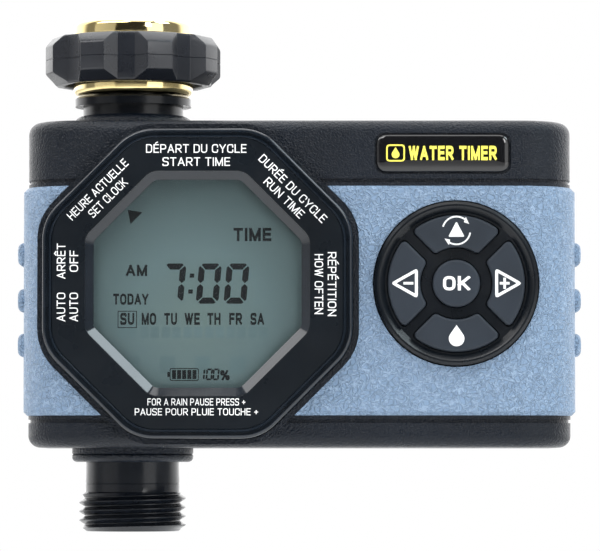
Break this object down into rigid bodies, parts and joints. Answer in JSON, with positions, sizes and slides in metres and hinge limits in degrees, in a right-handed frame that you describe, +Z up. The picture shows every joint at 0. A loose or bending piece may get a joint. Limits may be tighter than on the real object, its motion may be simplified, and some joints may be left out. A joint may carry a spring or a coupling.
{
  "type": "irrigation controller",
  "caption": "Hose-end digital watering timer with an octagonal display, round keypad, brass swivel nut inlet and threaded outlet spout.",
  "frame": {"origin": "on the vertical water axis, where the hose washer seals against the tap, at the bottom of the nut's thread", "axes": "+Z up along the water axis, against the flow; the display faces -Y and its keys press along +Y; +X is to the right as the user faces the display, along the longest side"},
  "size_m": [0.1395, 0.0627, 0.1274],
  "materials": {
    "badge_black": "domed gloss",
    "board_green": "solder mask",
    "brass": "polished",
    "capacitor_sleeve": "shrink sleeve",
    "cell_wrap": "printed sleeve",
    "chip_black": "matte",
    "clear_lens": "clear",
    "connector_white": "moulded",
    "copper": "enamelled wire",
    "gloss_black": "gloss",
    "grip_blue": "leather-grained soft rubber",
    "housing_black": "satin moulded grain",
    "key_grey": "matte",
    "label_black": "satin print film",
    "lcd_glass": "grey-green display",
    "screen_steel": "bright",
    "screw_steel": "zinc plated",
    "seal_rubber": "matte",
    "silicone_grey": "matte",
    "spout_black": "satin",
    "spring_steel": "bright",
    "valve_grey": "glass-filled",
    "wheel_black": "satin",
    "wire_red": "insulation"
  },
  "bodies": {
    "housing": {"front_shell": "housing_black", "rear_shell": "housing_black", "housing_gasket": "seal_rubber", "housing_screws": "screw_steel", "grip_left": "grip_blue", "grip_right": "grip_blue", "display_bezel": "gloss_black", "label_ring": "label_black", "display_lens": "clear_lens", "lcd_panel": "lcd_glass", "zebra_strips": "seal_rubber", "keypad_plate": "gloss_black", "keypad_mat": "silicone_grey", "badge": "badge_black", "circuit_board": "board_green", "board_screws": "screw_steel", "microcontroller": "chip_black", "capacitor": "capacitor_sleeve", "wire_connector": "connector_white", "solenoid_wires": "wire_red", "battery_wires": "wire_red", "hose_washer": "seal_rubber", "filter_screen": "screen_steel", "inlet_spout": "spout_black", "outlet_spout": "spout_black", "inlet_o_ring": "seal_rubber", "outlet_o_ring": "seal_rubber", "valve_body": "valve_grey", "valve_bonnet": "valve_grey", "bonnet_screws": "screw_steel", "diaphragm": "seal_rubber", "diaphragm_spring": "spring_steel", "plunger_guide": "screen_steel", "plunger_spring": "spring_steel", "pole_piece": "spring_steel", "coil_bobbin": "connector_white", "coil_winding": "copper", "solenoid_yoke": "screw_steel", "solenoid_nut": "screw_steel", "cell_upper": "cell_wrap", "cell_lower": "cell_wrap", "battery_contacts": "spring_steel", "battery_springs": "spring_steel", "door_hinge_pin": "spring_steel", "door_gasket": "seal_rubber"},
    "swivel": {"swivel_nut": "brass", "handwheel": "wheel_black"},
    "key_ok": {"key_ok": "key_grey"},
    "key_next": {"key_next": "key_grey"},
    "key_manual": {"key_manual": "key_grey"},
    "key_minus": {"key_minus": "key_grey"},
    "key_plus": {"key_plus": "key_grey"},
    "door": {"battery_door": "housing_black"},
    "plunger": {"plunger": "spring_steel", "plunger_seal": "seal_rubber"},
    "diaphragm_plate": {"diaphragm_plate": "valve_grey"}
  },
  "joints": [
    {"name": "nut_swivel", "type": "hinge", "parent": "housing", "child": "swivel", "pos_m": [0, 0, 0], "axis": [0, 0, 1], "continuous": true},
    {"name": "key_ok_press", "type": "slide", "parent": "housing", "child": "key_ok", "axis": [0, 1, 0], "range_m": [0, 0.001], "stiffness_N_per_m": 400, "springref_m": -0.0015},
    {"name": "key_next_press", "type": "slide", "parent": "housing", "child": "key_next", "axis": [0, 1, 0], "range_m": [0, 0.001], "stiffness_N_per_m": 400, "springref_m": -0.0015},
    {"name": "key_manual_press", "type": "slide", "parent": "housing", "child": "key_manual", "axis": [0, 1, 0], "range_m": [0, 0.001], "stiffness_N_per_m": 400, "springref_m": -0.0015},
    {"name": "key_minus_press", "type": "slide", "parent": "housing", "child": "key_minus", "axis": [0, 1, 0], "range_m": [0, 0.001], "stiffness_N_per_m": 400, "springref_m": -0.0015},
    {"name": "key_plus_press", "type": "slide", "parent": "housing", "child": "key_plus", "axis": [0, 1, 0], "range_m": [0, 0.001], "stiffness_N_per_m": 400, "springref_m": -0.0015},
    {"name": "door_hinge", "type": "hinge", "parent": "housing", "child": "door", "pos_m": [0.069, 0.0274, -0.0354], "axis": [1, 0, 0], "range_deg": [0, 110]},
    {"name": "plunger_lift", "type": "slide", "parent": "housing", "child": "plunger", "axis": [1, 0, 0], "range_m": [0, 0.0015], "stiffness_N_per_m": 300, "springref_m": -0.002, "deforming": ["plunger_spring"]},
    {"name": "diaphragm_lift", "type": "slide", "parent": "housing", "child": "diaphragm_plate", "axis": [1, 0, 0], "range_m": [0, 0.002], "stiffness_N_per_m": 200, "springref_m": -0.002, "deforming": ["diaphragm_spring", "diaphragm"]}
  ]
}
